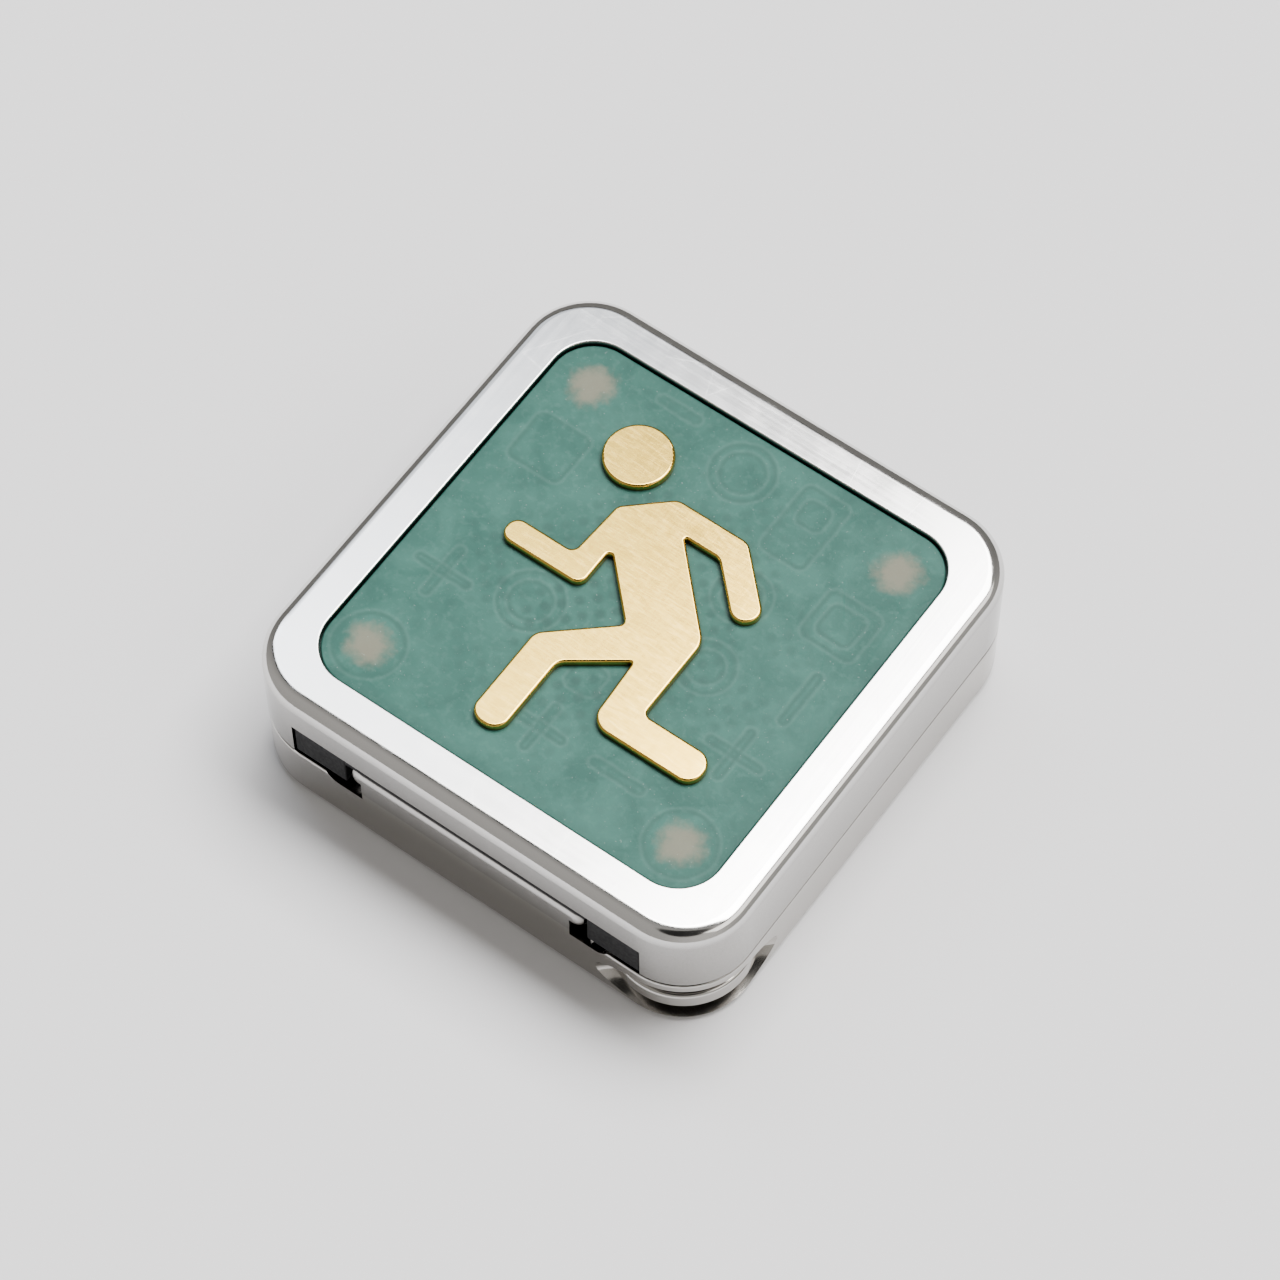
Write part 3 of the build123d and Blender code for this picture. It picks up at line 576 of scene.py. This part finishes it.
def coil_mesh(low, high):
    """A coil of wire that fills the box between two corners."""
    centre = (low + high) / 2
    radius = (high.x - low.x) / 2 - SPRING_WIRE_R
    first = low.z + SPRING_WIRE_R
    rise = high.z - SPRING_WIRE_R - first
    curve = bpy.data.curves.new("return_coil", "CURVE")
    curve.dimensions = "3D"
    curve.bevel_depth = SPRING_WIRE_R
    curve.bevel_resolution = SPRING_BEVEL_RESOLUTION
    curve.use_fill_caps = True
    steps = SPRING_TURNS * STEPS_PER_TURN
    spline = curve.splines.new("POLY")
    spline.points.add(steps)
    for step, point in enumerate(spline.points):
        angle = math.tau * step / STEPS_PER_TURN
        x = centre.x + radius * math.cos(angle)
        y = centre.y + radius * math.sin(angle)
        point.co = (x, y, first + rise * step / steps, 1.0)
    drawn = bpy.data.objects.new("drawn_coil", curve)
    mesh = bpy.data.meshes.new_from_object(drawn)
    bpy.data.objects.remove(drawn)
    for polygon in mesh.polygons:
        polygon.use_smooth = True
    return mesh


def button_coil():
    """The button's return spring, as a coil of wire that fills the spring part's box."""
    low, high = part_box("button_spring")
    mesh = coil_mesh(low, high)
    mesh.materials.clear()
    mesh.materials.append(MATERIALS["spring_steel"])
    coil = add_object("return_coil", mesh)
    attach(coil, "lid")
    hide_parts("button_spring")
    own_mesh(coil)


def dress_cad_nodes():
    slots = {part["node"]: part["material_slot"] for part in frame["record"]["subparts"]}
    for name, node in frame["nodes"].items():
        node.data.materials.clear()
        node.data.materials.append(MATERIALS[slots[name]])


# ---------------------------------------------------------------- camera and floor
CAMERA_PLACE = Vector((96.4, -130.5, 295.8)) * MM
CAMERA_AIM = Vector((1.9, -2.0, 12.5)) * MM
CAMERA_ROLL = math.radians(-0.58)
LENS_MM = 132.9
SENSOR_MM = 36.0
FLOOR_REACH = 3.0


def add_camera():
    data = bpy.data.cameras.new("camera")
    data.lens = LENS_MM
    data.sensor_width = SENSOR_MM
    camera = add_object("camera", data)
    aim = (CAMERA_AIM - CAMERA_PLACE).to_track_quat("-Z", "Y").to_matrix().to_4x4()
    camera.matrix_world = Matrix.Translation(CAMERA_PLACE) @ aim @ Matrix.Rotation(CAMERA_ROLL, 4, "Z")
    bpy.context.scene.camera = camera


def add_floor():
    side = FLOOR_REACH
    mesh = bpy.data.meshes.new("floor")
    corners = [(-side, -side, 0), (side, -side, 0), (side, side, 0), (-side, side, 0)]
    mesh.from_pydata(corners, [], [(0, 1, 2, 3)])
    floor = add_object("floor", mesh)
    mesh.materials.append(floor_material())


# ---------------------------------------------------------------- studio light
# Places overhead are given as the slopes x/z and y/z of a ray that leaves the case.
WINDOW_X = (-1.15, 0.55)
WINDOW_Y = (0.17, 0.80)
WINDOW_SOFT = 0.03
FRAME_X = (-1.30, 0.68)
FRAME_Y = (0.03, 0.92)
FRAME_SOFT = 0.02
FRAME_SHARE = 0.1
STRIP_X = (0.75, 1.6)
STRIP_Y = (-0.4, 1.2)
STRIP_SOFT = 0.08
STRIP_LIGHT = 2.2

GLOW_FALLS_ALONG_Y = (0.395, 0.53)
GLOW_LEVELS = (6.3, 1.35)
BRIGHT_FROM_X = (-0.315, -0.262)
BRIGHT_LIGHT = 16.5
WARM_ALONG_X = (-0.42, -0.30)

ROOM_LEVELS = (0.22, 0.50)
ROOM_RIGHT_LIGHT = 0.25
PHOTOGRAPHER_SPAN = (math.cos(math.radians(23)), math.cos(math.radians(16)))
PHOTOGRAPHER_SHARE = 0.05

ROOM_TINT = (1.0, 0.965, 0.91)
WINDOW_COOL = (0.93, 0.985, 1.06)
WINDOW_WARM = (1.0, 0.99, 0.975)


class Sky(Graph):
    """The studio's world, read by the direction of a ray that leaves the case."""

    def __init__(self, node_tree):
        super().__init__(node_tree)
        self.x, self.y, z = self.split(self.direction())
        height = self.math("MAXIMUM", z, 0.001)
        self.slope_x = self.math("DIVIDE", self.x, height)
        self.slope_y = self.math("DIVIDE", self.y, height)
        self.above = self.spread(z, (0.0, 0.02))

    def direction(self):
        return self.add("ShaderNodeTexCoord").outputs["Generated"]

    def rectangle(self, x_span, y_span, soft):
        """1 inside a rectangle overhead and 0 outside it."""
        in_x = self.within(self.slope_x, x_span, soft)
        in_y = self.within(self.slope_y, y_span, soft)
        return self.math("MULTIPLY", self.math("MULTIPLY", in_x, in_y), self.above)

    def dim(self, level, mask, share):
        """Leaves only a share of the light where the mask is 1."""
        return self.math("MULTIPLY", level, self.spread(mask, (0.0, 1.0), to=(1.0, share)))


def room_light(sky):
    """A grey room, lighter on the near side and on the right."""
    near_side = sky.spread(sky.y, (-0.5, 0.3), to=FALLING, smooth=True)
    right_side = sky.spread(sky.x, (0.1, 0.9), smooth=True)
    room = sky.spread(near_side, (0.0, 1.0), to=ROOM_LEVELS)
    return sky.math("ADD", room, sky.math("MULTIPLY", right_side, ROOM_RIGHT_LIGHT))


def window_glow(sky):
    """The window's light: a soft fall along Y, and much brighter to the right along X."""
    fall = sky.spread(sky.slope_y, GLOW_FALLS_ALONG_Y, to=GLOW_LEVELS)
    bright = sky.spread(sky.slope_x, BRIGHT_FROM_X, to=(0.0, BRIGHT_LIGHT), smooth=True)
    return sky.math("ADD", fall, bright)


def photographer(sky):
    """1 toward the camera, where whoever takes the picture blocks the light."""
    facing = sky.add("ShaderNodeVectorMath", operation="DOT_PRODUCT")
    sky.put(facing, 0, sky.direction())
    facing.inputs[1].default_value = (CAMERA_PLACE - CAMERA_AIM).normalized()
    return sky.spread(facing.outputs["Value"], PHOTOGRAPHER_SPAN, smooth=True)


def studio_tint(sky, window):
    """Warm in the room, and from cool to warm across the window."""
    warm = sky.spread(sky.slope_x, WARM_ALONG_X, smooth=True)
    window_tint = sky.mix(warm, WINDOW_COOL, WINDOW_WARM)
    return sky.mix(window, ROOM_TINT, window_tint)


def studio_world():
    """A grey room with a large window overhead, in a dark frame, and a pale strip to its right."""
    world = bpy.data.worlds.new("studio")
    world.use_nodes = True
    sky = Sky(world.node_tree)
    room = room_light(sky)
    window = sky.rectangle(WINDOW_X, WINDOW_Y, WINDOW_SOFT)
    window_frame = sky.rectangle(FRAME_X, FRAME_Y, FRAME_SOFT)
    glow = window_glow(sky)
    strip = sky.rectangle(STRIP_X, STRIP_Y, STRIP_SOFT)
    level = sky.math("MULTIPLY_ADD", strip, STRIP_LIGHT, room)
    level = sky.dim(level, window_frame, FRAME_SHARE)
    level = sky.dim(level, photographer(sky), PHOTOGRAPHER_SHARE)
    level = sky.math("MULTIPLY_ADD", window, glow, level)
    background = sky.nodes["Background"]
    sky.put(background, "Color", studio_tint(sky, window))
    sky.put(background, "Strength", level)
    bpy.context.scene.world = world


add_camera()
add_floor()
studio_world()
dress_cad_nodes()
button_coil()
